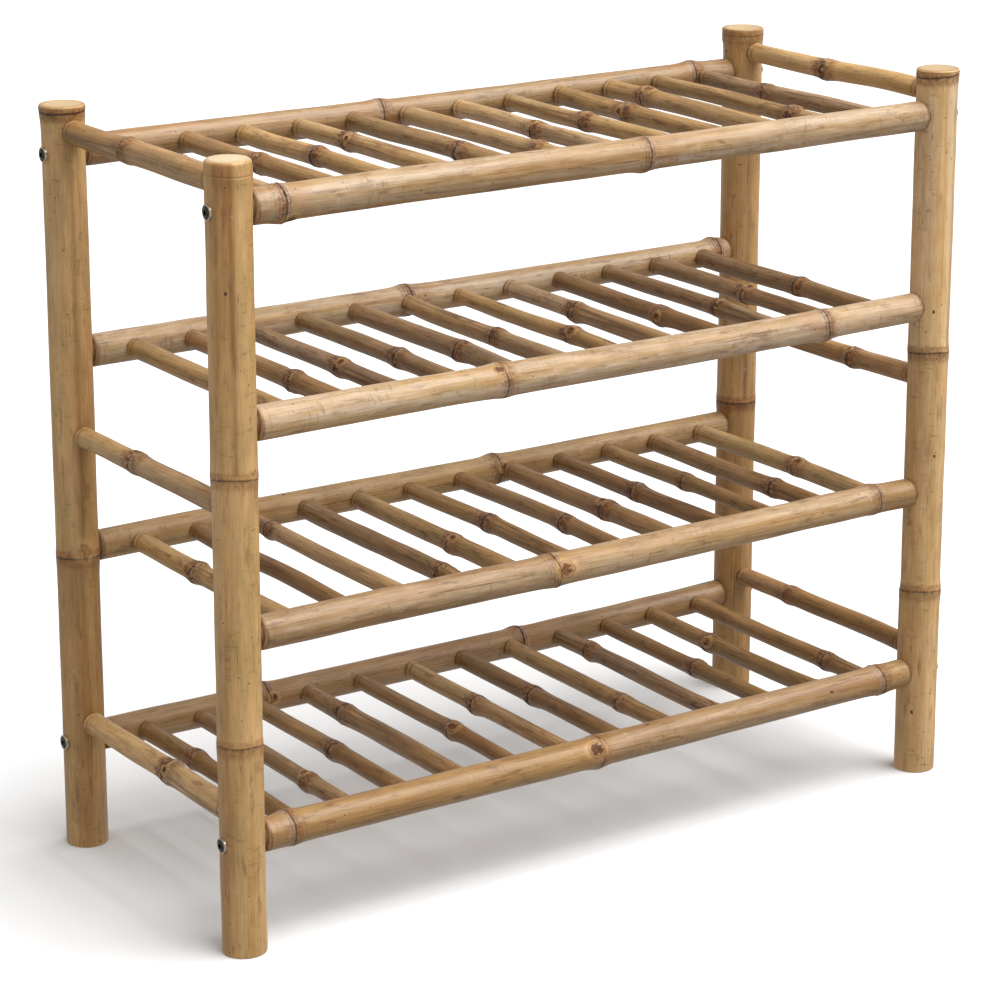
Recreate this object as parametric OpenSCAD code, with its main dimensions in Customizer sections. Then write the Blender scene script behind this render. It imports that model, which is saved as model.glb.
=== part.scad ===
// Four-shelf bamboo shoe rack that is sold flat and bolted together.
// Two end frames (two posts and three rungs each) hold four shelves (two rails and a row of slats each).
// The rails' and rungs' tenons sit in holes in the posts. The top and bottom shelves are also bolted.
// X runs along the rack, Y from front to back and Z up. The origin is on the floor under the centre.

/* [Rack] */
// Distance between the left and right post centres
post_span = 765; // [740:5:860]
// Distance between the front and back post centres
post_depth = 294; // [280:2:400]
// Height of the posts
rack_h = 700; // [698:2:800]

/* [Shelves] */
// Height of the bottom shelf's rail centres
bottom_shelf_z = 102; // [96:1:120]
// Height of the top shelf's rail centres
top_shelf_z = 656; // [620:1:656]
// Slats in each shelf
slats_per_shelf = 12; // [8:2:12]
// Distance between slat centres
slat_pitch = 59; // [50:0.5:60]

/* [Culms] */
// Outer diameter of the posts
post_d = 40; // [38:0.5:44]
// Diameter of the hollow in the posts
post_bore_d = 26; // [22:1:28]
// Diameter of the hollow in the rails
rail_bore_d = 16; // [14:0.5:17]
// Mean outer diameter of the slats
slat_d = 17; // [16:0.5:18]
// How far the two lips of a culm joint stand out from a post
post_joint_rise = 1.25; // [0.5:0.25:1.25]
// How far the two lips of a culm joint stand out from the thinner culms
thin_joint_rise = 0.9; // [0.4:0.1:1]

/* [Wood joints] */
// Diameter of the rails' tenons
rail_tenon_d = 22; // [20:0.5:22]
// Diameter of the rungs' tenons
rung_tenon_d = 18; // [14:0.5:18]
// Diameter of the slats' tenons
slat_tenon_d = 15.4; // [13:0.2:15.4]
// Clearance round a tenon, on the radius
tenon_fit = 0.15; // [0.1:0.05:0.3]
// Height of a rung above the rails of the shelf beside it
rung_lift = 21; // [20.5:0.5:22]
// Height of the two middle rungs
middle_rung_z = 398; // [380:2:410]

/* [Bolts] */
// Diameter of the bolt heads
bolt_head_d = 14; // [12:0.5:15]
// Thickness of the bolt heads
bolt_head_h = 3.6; // [2.5:0.1:4]
// Length of the bolts under the head
bolt_len = 45; // [42:1:48]
// Size of the hexagon socket across its flats
socket_af = 4; // [3:0.5:5]

/* [Hidden] */
$fn = 48;
post_r = post_d / 2;
end_ease = 0.8;       // chamfer on a culm that is cut square
top_dish = 2;         // depth of the hollow in a post's closed top
web = 4;              // thickness of the wall across a culm inside each joint
lip_offset = 1.6;     // from a joint's groove to each of its lips
lip_spread = 5;       // from a joint's groove to where the swelling ends
cut = 1;              // how far a cutting tool runs past the face it opens

tenon_tip = 8;        // from a post's axis to the tips of the tenons in it
shoulder_gap = 1.4;   // from a post to the shoulders of its rails and rungs, clear of its joints' lips
slat_tip = 6;         // from a rail's axis to the tips of the slats in it
slat_shoulder = 16.6; // from a rail's axis to the slats' shoulders
slat_spread = 0.5;    // how far a slat's radius differs from the mean
slat_bore_d = 5;      // diameter of the hollow in the slats
rung_bore_d = 9;      // diameter of the hollow in the rungs

bolt_d = 5.9;         // M6 thread, drawn plain just under its full size
thread_bore_d = 6.1;  // threaded hole, drawn plain just over its full size
bolt_hole_d = 6.6;
bolt_seat_depth = 0.6;
bolt_seat_d = bolt_head_d + 1;
socket_depth = 2.4;
insert_d = 10;
insert_len = 14;
insert_thread = 0.8;  // depth of the coarse outer thread
insert_pitch = 2;
plug_len = 30;
pilot_len = 22;       // depth of the bolt's way into a plug
press_gap = 0.05;     // on the radius, between a plug or an insert and its hole

shelf_step = (top_shelf_z - bottom_shelf_z) / 3;
rail_len = post_span - 2 * tenon_tip;
rung_len = post_depth - 2 * tenon_tip;
slat_len = post_depth - 2 * slat_tip;
post_tenon = post_r + shoulder_gap - tenon_tip; // length of a tenon that sits in a post
bolt_seat_x = post_r - bolt_seat_depth;

// Name, side (-1 is left), face (-1 is front), heights of the culm joints, drop of the topmost joint
POSTS = [
    ["post_front_left", -1, -1, [190, 427], 14],
    ["post_front_right", 1, -1, [185, 425], 14],
    ["post_back_left", -1, 1, [281], 7],
    ["post_back_right", 1, 1, [310], 12],
];

// Name and height of each shelf, and whether its rails are bolted
SHELVES = [
    ["top", top_shelf_z, true],
    ["upper", top_shelf_z - shelf_step, false],
    ["lower", bottom_shelf_z + shelf_step, false],
    ["bottom", bottom_shelf_z, true],
];

// Shelf, face, radius at the left and right shoulders, places of the culm joints along X
RAILS = [
    [0, -1, 15.4, 14.0, [-337, 40]],
    [0, 1, 14.6, 13.8, [-54, 314]],
    [1, -1, 15.4, 14.0, [-115, 247]],
    [1, 1, 14.8, 13.6, [-25, 348]],
    [2, -1, 15.4, 14.2, [-61, 316]],
    [2, 1, 14.6, 13.8, [-204, 77]],
    [3, -1, 15.2, 14.2, [-337, -10, 328]],
    [3, 1, 14.4, 14.0, [-190, 104]],
];

// Name, side, height, radius at the front and back shoulders, place of the culm joint along Y
RUNGS = [
    ["rung_left_top", -1, top_shelf_z + rung_lift, 11, 10.6, 20],
    ["rung_left_middle", -1, middle_rung_z, 10, 9.6, 22],
    ["rung_left_bottom", -1, bottom_shelf_z + rung_lift, 11, 10.4, -21],
    ["rung_right_top", 1, top_shelf_z + rung_lift, 9.8, 9.4, 10],
    ["rung_right_middle", 1, middle_rung_z, 9.6, 9.3, -38],
    ["rung_right_bottom", 1, bottom_shelf_z + rung_lift, 9.7, 9.3, 49],
];

// Place along Y of the culm joint in each slat, from left to right, a row for each shelf
SLAT_JOINTS = [
    [35, 0, 0, 45, -50, -85, 0, 5, 20, 70, -80, 30],
    [-30, -50, -35, -40, -50, -20, -55, 20, -35, -50, -15, -20],
    [20, 60, 95, -105, -35, -5, -45, -30, 0, 0, -65, -25],
    [35, -65, -15, 65, -35, 15, 5, -60, 75, -20, 30, -80],
];

function face_name(face) = face < 0 ? "front" : "back";
function rail_name(rail) = str("rail_", SHELVES[rail[0]][0], "_", face_name(rail[1]));
function slats_name(shelf, pair) = str(SHELVES[shelf][0], "_slats_", 2 * pair + 1, "_", 2 * pair + 2);
function slat_x(i) = (i - (slats_per_shelf - 1) / 2) * slat_pitch;
function slat_r(shelf, i) = slat_d / 2 + slat_spread * sin(97 * i + 61 * shelf);
function taper(r0, r1, z, len) = r0 + (r1 - r0) * z / len;

// Outline of one culm joint: two lips with a groove between them
function joint_outline(z, r, rise) = [
    [r, z - lip_spread],
    [r + rise, z - lip_offset],
    [r + rise / 3, z],
    [r + rise, z + lip_offset],
    [r, z + lip_spread],
];

// Hollow chambers of a culm along Z, parted by a web inside each joint
module chambers(from, to, joints, r) {
    lows = concat([from], [for (z = joints) z + web / 2]);
    highs = concat([for (z = joints) z - web / 2], [to]);
    for (i = [0 : len(joints)])
        translate([0, 0, lows[i]])
            cylinder(h = highs[i] - lows[i], r = r);
}

// A culm along Z with a whittled tenon at each end
module tenoned_culm(length, r0, r1, tenon_r, tenon, bore_r, joints) {
    outline = concat(
        [[0, 0], [tenon_r, 0], [tenon_r, tenon], [r0, tenon]],
        [for (z = joints) each joint_outline(z, taper(r0, r1, z, length), thin_joint_rise)],
        [[r1, length - tenon], [tenon_r, length - tenon], [tenon_r, length], [0, length]]
    );
    difference() {
        rotate_extrude()
            polygon(outline);
        chambers(-cut, length + cut, joints, bore_r);
    }
}

module at_post(side, face) {
    translate([side * post_span / 2, face * post_depth / 2, 0])
        children();
}

// Places the child, drawn along +Z from a post's axis, at each bolt and pointing out of the rack
module at_bolts() {
    for (shelf = SHELVES)
        if (shelf[2])
            for (side = [-1, 1])
                for (face = [-1, 1])
                    at_post(side, face)
                        translate([0, 0, shelf[1]])
                            rotate([0, side * 90, 0])
                                children();
}

module post(side, face, joints, drop) {
    top_joint = rack_h - drop;
    top_web = rack_h - 12;
    outline = concat(
        [[0, 0], [post_r - end_ease, 0], [post_r, end_ease]],
        [for (z = joints) each joint_outline(z, post_r, post_joint_rise)],
        [[post_r, top_joint - lip_spread], [post_r + post_joint_rise, top_joint - lip_offset]],
        [[post_r + post_joint_rise, top_joint + lip_offset], [post_r, rack_h - end_ease]],
        [[post_r - end_ease, rack_h], [post_bore_d / 2, rack_h], [0, rack_h - top_dish]]
    );
    color("burlywood")
        at_post(side, face)
            difference() {
                rotate_extrude()
                    polygon(outline);
                chambers(-cut, top_web, joints, post_bore_d / 2);
                for (shelf = SHELVES)
                    translate([0, 0, shelf[1]])
                        rotate([0, -side * 90, 0])
                            cylinder(h = post_r + 2 * cut, r = rail_tenon_d / 2 + tenon_fit);
                for (rung = RUNGS)
                    if (rung[1] == side)
                        translate([0, 0, rung[2]])
                            rotate([face * 90, 0, 0])
                                cylinder(h = post_r + 2 * cut, r = rung_tenon_d / 2 + tenon_fit);
                for (shelf = SHELVES)
                    if (shelf[2])
                        translate([0, 0, shelf[1]])
                            rotate([0, side * 90, 0]) {
                                cylinder(h = post_r + cut, d = bolt_hole_d);
                                translate([0, 0, bolt_seat_x])
                                    cylinder(h = bolt_seat_depth + 2 * cut, d = bolt_seat_d);
                            }
            }
}

module rail(shelf, face, r0, r1, joints) {
    color("tan")
        translate([0, face * post_depth / 2, SHELVES[shelf][1]])
            difference() {
                translate([-rail_len / 2, 0, 0])
                    rotate([0, 90, 0])
                        tenoned_culm(
                            rail_len, r0, r1, rail_tenon_d / 2, post_tenon,
                            rail_bore_d / 2, [for (x = joints) x + rail_len / 2]
                        );
                for (i = [0 : slats_per_shelf - 1])
                    translate([slat_x(i), 0, 0])
                        rotate([face * 90, 0, 0])
                            cylinder(h = r0 + 2 * cut, r = slat_tenon_d / 2 + tenon_fit);
            }
}

module rung(side, z, r_front, r_back, joint) {
    color("wheat")
        translate([side * post_span / 2, -rung_len / 2, z])
            rotate([-90, 0, 0])
                tenoned_culm(
                    rung_len, r_front, r_back, rung_tenon_d / 2, post_tenon,
                    rung_bore_d / 2, [joint + rung_len / 2]
                );
}

module slat(shelf, i) {
    r = slat_r(shelf, i);
    translate([slat_x(i), -slat_len / 2, SHELVES[shelf][1]])
        rotate([-90, 0, 0])
            tenoned_culm(
                slat_len, r, r, slat_tenon_d / 2, slat_shoulder - slat_tip,
                slat_bore_d / 2, [SLAT_JOINTS[shelf][i] + slat_len / 2]
            );
}

module slat_pair(shelf, pair) {
    color("peru")
        for (i = [2 * pair, 2 * pair + 1])
            slat(shelf, i);
}

// Hardwood dowels that fill the ends of the bolted rails and hold the inserts
module rail_end_plugs() {
    color("sienna")
        at_bolts()
            translate([0, 0, -tenon_tip - plug_len])
                difference() {
                    cylinder(h = plug_len, r = rail_bore_d / 2 - press_gap);
                    translate([0, 0, plug_len - insert_len])
                        cylinder(h = insert_len + cut, r = insert_d / 2 + press_gap);
                    translate([0, 0, plug_len - pilot_len])
                        cylinder(h = pilot_len, d = bolt_hole_d);
                }
}

// Inserts that the bolts screw into, with a coarse ribbed outside
module threaded_inserts() {
    root_r = insert_d / 2 - insert_thread;
    ribs = floor(insert_len / insert_pitch) - 1;
    outline = concat(
        [[thread_bore_d / 2, 0], [root_r, 0]],
        [for (i = [0 : ribs]) each [
            [root_r, (i + 0.2) * insert_pitch],
            [insert_d / 2, (i + 0.5) * insert_pitch],
            [root_r, (i + 0.8) * insert_pitch],
        ]],
        [[root_r, insert_len], [thread_bore_d / 2, insert_len]]
    );
    color("silver")
        at_bolts()
            translate([0, 0, -tenon_tip - insert_len])
                rotate_extrude()
                    polygon(outline);
}

// Button-head bolts with a hexagon socket
module bolts() {
    head_r = bolt_head_d / 2;
    rim_h = 1.1;
    dome_r = (head_r * head_r + (bolt_head_h - rim_h) * (bolt_head_h - rim_h)) / (2 * (bolt_head_h - rim_h));
    dome_angle = asin(head_r / dome_r);
    dome = [for (k = [0 : 8]) let (a = dome_angle * (1 - k / 8))
        [dome_r * sin(a), bolt_head_h - dome_r + dome_r * cos(a)]];
    outline = concat(
        [[0, -bolt_len], [bolt_d / 2 - end_ease, -bolt_len], [bolt_d / 2, -bolt_len + end_ease]],
        [[bolt_d / 2, 0], [head_r, 0]],
        dome
    );
    color("darkkhaki")
        at_bolts()
            translate([0, 0, bolt_seat_x])
                difference() {
                    rotate_extrude()
                        polygon(outline);
                    translate([0, 0, bolt_head_h - socket_depth])
                        cylinder(h = socket_depth + cut, d = socket_af / cos(30), $fn = 6);
                }
}

for (p = POSTS)
    post(p[1], p[2], p[3], p[4]);
for (r = RAILS)
    rail(r[0], r[1], r[2], r[3], r[4]);
for (r = RUNGS)
    rung(r[1], r[2], r[3], r[4], r[5]);
for (s = [0 : 3])
    for (pair = [0 : slats_per_shelf / 2 - 1])
        slat_pair(s, pair);
rail_end_plugs();
threaded_inserts();
bolts();
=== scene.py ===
import math
from functools import reduce

import bpy
import numpy as np
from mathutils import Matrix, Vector


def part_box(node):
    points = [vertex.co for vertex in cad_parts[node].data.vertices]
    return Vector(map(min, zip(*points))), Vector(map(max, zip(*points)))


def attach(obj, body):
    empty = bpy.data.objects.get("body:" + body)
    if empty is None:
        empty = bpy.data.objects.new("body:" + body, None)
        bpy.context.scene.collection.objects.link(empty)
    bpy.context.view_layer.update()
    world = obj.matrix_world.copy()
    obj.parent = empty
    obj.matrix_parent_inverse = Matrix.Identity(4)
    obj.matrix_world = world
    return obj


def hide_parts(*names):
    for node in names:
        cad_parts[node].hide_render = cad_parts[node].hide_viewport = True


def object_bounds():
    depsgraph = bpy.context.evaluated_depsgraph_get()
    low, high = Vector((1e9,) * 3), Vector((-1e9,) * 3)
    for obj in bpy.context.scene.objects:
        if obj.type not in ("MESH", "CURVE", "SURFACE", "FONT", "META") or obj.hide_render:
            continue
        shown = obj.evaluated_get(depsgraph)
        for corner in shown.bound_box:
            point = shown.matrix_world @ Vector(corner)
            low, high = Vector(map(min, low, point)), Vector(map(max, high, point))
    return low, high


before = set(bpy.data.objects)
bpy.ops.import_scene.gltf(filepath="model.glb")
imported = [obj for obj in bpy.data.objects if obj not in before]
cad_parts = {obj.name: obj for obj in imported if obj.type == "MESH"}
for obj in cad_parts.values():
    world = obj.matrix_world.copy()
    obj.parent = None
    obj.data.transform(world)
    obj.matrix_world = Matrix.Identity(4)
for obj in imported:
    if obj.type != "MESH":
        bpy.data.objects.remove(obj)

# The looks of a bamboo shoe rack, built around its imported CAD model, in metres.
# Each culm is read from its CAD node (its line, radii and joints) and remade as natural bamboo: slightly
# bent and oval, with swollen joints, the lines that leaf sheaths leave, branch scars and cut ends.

cad_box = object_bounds()
scene = bpy.context.scene
MM = 0.001

# ---- reading culms from the CAD

LIP_GAP = 3.2 * MM      # between the two lips that mark a joint on a CAD culm
LIP_RISE = 0.5 * MM     # least height of a lip over the plain culm
CREST = 0.12 * MM       # how far below the highest point of a lip still counts as its crest
GRAIN = 0.02 * MM       # points closer along a culm than this belong to one ring


class Culm:
    """One straight CAD culm: its axis, centre and ends, its radius along it and its joints."""

    def __init__(self, points, axis):
        self.axis = axis
        self.across = [i for i in range(3) if i != axis]
        low, high = points.min(0), points.max(0)
        self.centre = (low + high) / 2
        self.low, self.high = low[axis], high[axis]
        radii = np.hypot(*(points[:, i] - self.centre[i] for i in self.across))
        places = np.round(points[:, axis] / GRAIN).astype(int)
        every = np.unique(places)
        widest = np.array([radii[places == p].max() for p in every])
        self.tip_radius = widest[0]
        skin = widest > self.tip_radius + 0.1 * MM
        self.places, self.radii = every[skin] * GRAIN, widest[skin]
        self.joints = self.find_joints()

    def radius_at(self, place):
        """Outer radius of the plain CAD culm at a place along it, between its joints."""
        return np.interp(place, self.places[[0, -1]], self.radii[[0, -1]])

    def find_joints(self):
        """Places of the joints: the middles of the pairs of lips along the culm."""
        rise = self.radii - self.radius_at(self.places)
        high = np.flatnonzero(rise > LIP_RISE)
        groups = np.split(high, np.flatnonzero(np.diff(self.places[high]) > 2 * LIP_GAP) + 1)
        found = []
        for group in groups:
            crests = self.places[group][rise[group] > rise[group].max() - CREST]
            found.append((crests[0] + crests[-1]) / 2)
        return found


def node_points(name):
    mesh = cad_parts[name].data
    flat = np.empty(len(mesh.vertices) * 3)
    mesh.vertices.foreach_get("co", flat)
    return flat.reshape(-1, 3)


def culms_of(name, axis, count=1):
    """The culms in a CAD node, from left to right."""
    points = node_points(name)
    if count == 1:
        return [Culm(points, axis)]
    edges = np.linspace(points[:, 0].min(), points[:, 0].max(), count + 1)
    return [
        Culm(points[(points[:, 0] >= a - MM) & (points[:, 0] <= b + MM)], axis)
        for a, b in zip(edges[:-1], edges[1:])
    ]

# ---- shapes of natural culms

SHARP = math.radians(48)    # edges of a culm that fold more than this stay sharp
FAR = 1.0               # a distance that stands for "no joint, scar or end near here"
TOUCH = 0.45 * MM       # how far a rung or slat sinks into the culm it stands against
COLLAR = 7 * MM         # length of the rounded collar at each end of a rung or slat
END_BLEND = 9 * MM      # how far along a culm the carved line of its end is felt
TONE_SPREAD = np.array([0.14, 0.1, 0.08, 0.08])     # of light, brown, green and wax
ALTERNATE = 2.9         # turn in radians from one joint's furrow to the next one's, nearly half round


def bell(x, width):
    return np.exp(-((x / width) ** 2))


def soft_step(x):
    """0 far below nought and 1 far above it."""
    return 1 / (1 + np.exp(-x))


def turned(angle, start):
    """The turn from start to an angle, between half a turn back and half a turn on."""
    return np.angle(np.exp(1j * (angle - start)))


class Bend:
    """How far a grown culm's line strays from straight: a slow bow and a kink at each joint."""

    def __init__(self, rng, low, high, joints, bow, kink, ends=((0, 0), (0, 0))):
        self.low, self.high = low, high
        self.joints = [j for j in joints if low + 20 * MM < j < high - 20 * MM]
        self.bows = rng.normal(0, bow / 2, (3, 2)) / np.array([[1], [2], [3]])
        self.kinks = rng.normal(0, kink / 2, (len(self.joints), 2))
        self.ends = np.array(ends, float)

    def at(self, places):
        s = np.clip((np.asarray(places, float) - self.low) / (self.high - self.low), 0, 1)
        offset = np.outer(1 - s, self.ends[0]) + np.outer(s, self.ends[1])
        for number, bow in enumerate(self.bows, 1):
            offset += np.outer(np.sin(number * np.pi * s), bow)
        for joint, kink in zip(self.joints, self.kinks):
            share = (joint - self.low) / (self.high - self.low)
            offset += np.outer(np.minimum(s / share, (1 - s) / (1 - share)), kink)
        return offset


class Waves:
    """Slow unevenness of a culm's surface, as waves that run round and along it."""

    def __init__(self, rng, height, count=9):
        self.turns = rng.integers(0, 5, count)
        self.rates = rng.uniform(-2 * np.pi, 2 * np.pi, count) / (70 * MM)
        self.phases = rng.uniform(0, 2 * np.pi, count)
        self.heights = rng.uniform(0.4, 1, count) * height / math.sqrt(count)

    def at(self, place, angle):
        waves = zip(self.turns, self.rates, self.phases, self.heights)
        return sum(h * np.sin(m * angle + k * place + p) for m, k, p, h in waves)


LUMPS = 20              # how many small bumps and dents a joint has


class Joint:
    """One joint of a culm: a tilted, wavy line with lips beside it and a swelling round it."""

    def __init__(self, rng, place, radius, up, shape):
        self.place, self.radius, self.up = place, radius, up
        self.mark = shape["mark"] * rng.uniform(0.7, 1.3)
        self.swell = shape["swell"] * rng.uniform(0.75, 1.25)
        self.lip = shape["lip"] * rng.uniform(0.7, 1.3)
        self.groove = shape["groove"] * rng.uniform(0.8, 1.2)
        self.width = shape["width"]
        self.reach = rng.uniform(9, 13) * MM
        self.run_in = rng.uniform(8, 11) * MM
        self.wrinkles = shape["side"] * np.array([1.0, 1.95, 2.9]) * rng.uniform(0.92, 1.1) * MM
        self.tilt = rng.normal(0, shape["tilt"])
        self.turn = rng.uniform(0, 2 * np.pi)
        self.lean = rng.uniform(0, 2 * np.pi)
        self.lump_places = rng.normal(-2.0 * MM, 5.5 * MM, LUMPS)
        self.lump_turns = rng.uniform(-np.pi, np.pi, LUMPS)
        self.lump_sizes = rng.uniform(1.3, 3.8, LUMPS) * MM
        self.lump_heights = shape["lump"] * rng.uniform(-1.0, 1.0, LUMPS)
        self.ripple = rng.normal(0, 0.16 * MM, 4)
        self.ripple_turn = rng.uniform(0, 2 * np.pi, 4)

    def shift(self, angle):
        """How far the joint's line lies from its mean place, round the culm."""
        waves = zip(range(2, 6), self.ripple, self.ripple_turn)
        return self.tilt * np.cos(angle - self.turn) + sum(h * np.sin(m * angle + p) for m, h, p in waves)

    def relief(self, away, angle):
        """Height over the plain culm at a distance from the line."""
        s = away * self.up
        reach = np.where(s < 0, self.run_in, self.reach)
        round_it = 1 + 0.5 * np.cos(angle - self.lean)
        ragged = 1 + 0.3 * np.sin(5 * angle + self.lean) * np.sin(3 * angle + self.turn)
        height = self.swell * round_it * np.exp(-np.abs((s + 1.0 * MM) / reach) ** 1.9)
        height += self.lip * ragged * (bell(s - 1.3 * MM, 0.9 * MM) + 0.6 * bell(s + 1.3 * MM, 0.6 * MM))
        for number, wrinkle in enumerate(self.wrinkles):
            height += self.lip * (0.75 - 0.15 * number) * ragged * bell(s - wrinkle, 0.8 * MM)
        height -= self.groove * bell(s, self.width)
        for place, turn, size, lump in zip(
            self.lump_places, self.lump_turns, self.lump_sizes, self.lump_heights
        ):
            around = self.radius * turned(angle, turn)
            height += lump * bell(np.hypot((s - place) / 1.4, around), size)
        return height


class Scar:
    """The scar of a branch: a raised oval with a pit, just above a joint."""

    def __init__(self, place, degrees, size, radius, height=0.9 * MM, pit=1.7 * MM, ink=1.0):
        self.place, self.angle, self.size = place, math.radians(degrees), size
        self.radius, self.height, self.pit, self.ink = radius, height, pit, ink

    def distance(self, place, angle):
        """Distance from the scar's middle over its size."""
        around = turned(angle, self.angle) * self.radius
        return np.hypot((place - self.place) / (1.15 * self.size), around / self.size)

    def relief(self, place, angle):
        away = self.distance(place, angle)
        return self.height * np.exp(-(away**2.4)) - self.pit * bell(away, 0.5)


def stations(low, high, marks, coarse, fine):
    """Places from low to high, close together near the marks."""
    places = [low]
    while places[-1] < high:
        near = min(abs(places[-1] - m) for m in marks)
        places.append(places[-1] + min(coarse, max(fine, 0.16 * near)))
    places[-1] = high
    if len(places) > 2 and places[-1] - places[-2] < fine / 2:
        places.pop(-2)
    return np.array(places)


class Body:
    """The grown surface of a culm between its two ends."""

    def __init__(self, culm, low, high, kind, rng, joints, up, tones, scars=(), bend=None, patches=()):
        self.culm, self.low, self.high, self.up = culm, low, high, up
        shape = self.shape = KINDS[kind]
        self.angles = np.arange(shape["segments"]) * 2 * np.pi / shape["segments"]
        self.joints = [Joint(rng, place, culm.radius_at(place), up, shape) for place in joints]
        self.scars = scars
        self.bend = bend or Bend(rng, low, high, joints, shape["bow"], shape["kink"])
        self.waves = Waves(rng, shape["wave"])
        self.oval = shape["oval"] * rng.uniform(0.3, 1.2)
        self.oval_turn = rng.uniform(0, 2 * np.pi)
        self.groove_turn = rng.uniform(0, 2 * np.pi)
        self.furrow_reach = 90 * MM
        self.steps = rng.normal(0, shape["step"], len(joints) + 1)
        self.offset = rng.uniform(0, 40, 3)
        self.tones, self.patches = tones, patches
        marks = [low, high] + [j.place for j in self.joints] + [s.place for s in scars]
        if shape["collar"] > 0:
            marks += [low + COLLAR, high - COLLAR]
        self.places = stations(low, high, marks, shape["coarse"], shape["fine"])

    def section(self, places):
        """Which length between joints each place lies in."""
        return np.searchsorted([j.place for j in self.joints], places)

    def radius(self, place, angle):
        """Radius at nominal places (a column) and angles (a row)."""
        plain = self.culm.radius_at(place) * self.shape["scale"]
        radius = plain * (1 + self.oval * np.cos(2 * (angle - self.oval_turn)))
        radius = radius + self.waves.at(place, angle) + self.steps[self.section(place)]
        for joint in self.joints:
            radius = radius + joint.relief(place - joint.place, angle)
        radius = radius - self.shape["furrow"] * self.furrow(place, angle, 0.42)
        edge = np.minimum(place - self.low, self.high - place)
        ring = bell(edge - COLLAR / 2, 0.26 * COLLAR) - 0.8 * bell(edge - COLLAR, 0.9 * MM)
        radius = radius + self.shape["collar"] * ring
        for scar in self.scars:
            radius = radius + scar.relief(place, angle)
        return np.minimum(radius, self.shape["most"])

    def furrow(self, place, angle, width):
        """The lengthwise hollow above each joint, on alternate sides, from 0 to 1."""
        depth = 0 * place * angle
        for number, joint in enumerate(self.joints):
            above = np.clip((place - joint.place) * self.up, 0, None)
            side = bell(turned(angle, self.groove_turn + ALTERNATE * number), width)
            fade = np.clip(above / (4 * MM), 0, 1) * np.exp(-above / self.furrow_reach)
            depth = np.maximum(depth, side * fade)
        return depth

    def rings(self):
        """Place, radius and surface features of every ring, as arrays of rings by segments."""
        nominal = self.places[:, None]
        angle = self.angles[None, :]
        radius = self.radius(nominal, angle)
        shift = sum(j.shift(angle) * bell(nominal - j.place, 14 * MM) for j in self.joints)
        nearest = np.full(radius.shape, FAR)
        mark = np.zeros(radius.shape)
        for joint in self.joints:
            away = (nominal - joint.place) * joint.up + 0 * angle
            closer = np.abs(away) < np.abs(nearest)
            nearest = np.where(closer, away, nearest)
            mark = np.where(closer, joint.mark, mark)
        mark = mark * np.clip(5 - np.abs(nearest) / (10 * MM), 0, 1)
        scar = np.zeros(radius.shape)
        for branch in self.scars:
            scar = np.maximum(scar, branch.ink * np.exp(-(branch.distance(nominal, angle) ** 2)))
        return dict(
            place=nominal + shift * end_fade(nominal, self.low, self.high),
            radius=radius,
            joint=nearest,
            mark=mark,
            scar=scar,
            furrow=self.furrow(nominal, angle, self.shape["hollow"]),
            tone=self.tone(nominal, angle),
        )

    def radius_ring(self, place):
        return self.radius(np.array([[place]]), self.angles[None, :])[0]

    def tone_ring(self, place):
        return self.tone(np.array([[place]]), self.angles[None, :])[0]

    def tone(self, nominal, angle):
        """Lightness, brownness, greenness and wax of the culm, as four channels from 0 to 1. The wax partly
        paints a pale sheen, most of all on the rails.
        """
        tone = np.array(self.tones)[self.section(nominal)[:, 0]][:, None, :] + np.zeros((1, angle.size, 1))
        for low, high, degrees, spread, change in self.patches:
            turn = np.abs(turned(angle, math.radians(degrees)))
            across = soft_step((math.radians(spread) - turn) / 0.045)
            along = soft_step((nominal - low * MM) / (9 * MM)) * soft_step((high * MM - nominal) / (6 * MM))
            tone = tone + (across * along)[:, :, None] * np.array(change)
        return np.clip(tone, 0, 1)


def end_fade(place, low, high):
    return np.clip((place - low) / (3 * MM), 0, 1) * np.clip((high - place) / (3 * MM), 0, 1)


def natural_tone(rng, mean, spread=1.0):
    """A random tone near the given one."""
    return np.clip(mean + rng.normal(0, spread, 4) * TONE_SPREAD, 0, 1)


# Shape of a post, a rail, a rung and a slat. Plain numbers: the segments round it, the scale of its radius,
# how oval it is, how dark its joints are, where their wrinkles lie in mm and how wide its furrows look in
# radians
NUMBERS = dict(
    segments=(72, 60, 44, 36), scale=(0.985, 1.0, 1.0, 1.0), oval=(0.01, 0.014, 0.018, 0.03),
    mark=(0.9, 0.9, 1.0, 1.0), side=(2.0, -3.0, -3.1, -3.0), hollow=(0.12, 0.12, 0.34, 0.38),
)
# Lengths in mm: the spacing of its rings, its own unevenness, that of its joints, the depth of its furrows,
# the height of its collars and the most its radius may be
LENGTHS = dict(
    coarse=(8, 8, 7, 7), fine=(0.3, 0.3, 0.3, 0.32),
    wave=(0.2, 0.25, 0.2, 0.22), bow=(0.3, 1.6, 1.6, 1.3), kink=(0.3, 1.4, 1.3, 1.3),
    step=(0.12, 0.2, 0.15, 0.15),
    swell=(0.5, 1.45, 1.15, 1.45), lip=(0.14, 0.42, 0.38, 0.4), groove=(0.25, 0.55, 0.8, 0.9),
    width=(0.6, 0.7, 0.9, 0.9), tilt=(1.0, 0.9, 0.6, 0.5), lump=(0.22, 0.32, 0.6, 0.65),
    furrow=(0.7, 0.45, 0.6, 0.8), collar=(0.0, 0.0, 0.55, 0.6), most=(21.2, 19, 14, 12.5),
)
KINDS = {kind: {} for kind in ("post", "rail", "rung", "slat")}
for column, shape in enumerate(KINDS.values()):
    shape.update({key: values[column] for key, values in NUMBERS.items()})
    shape.update({key: values[column] * MM for key, values in LENGTHS.items()})


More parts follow.
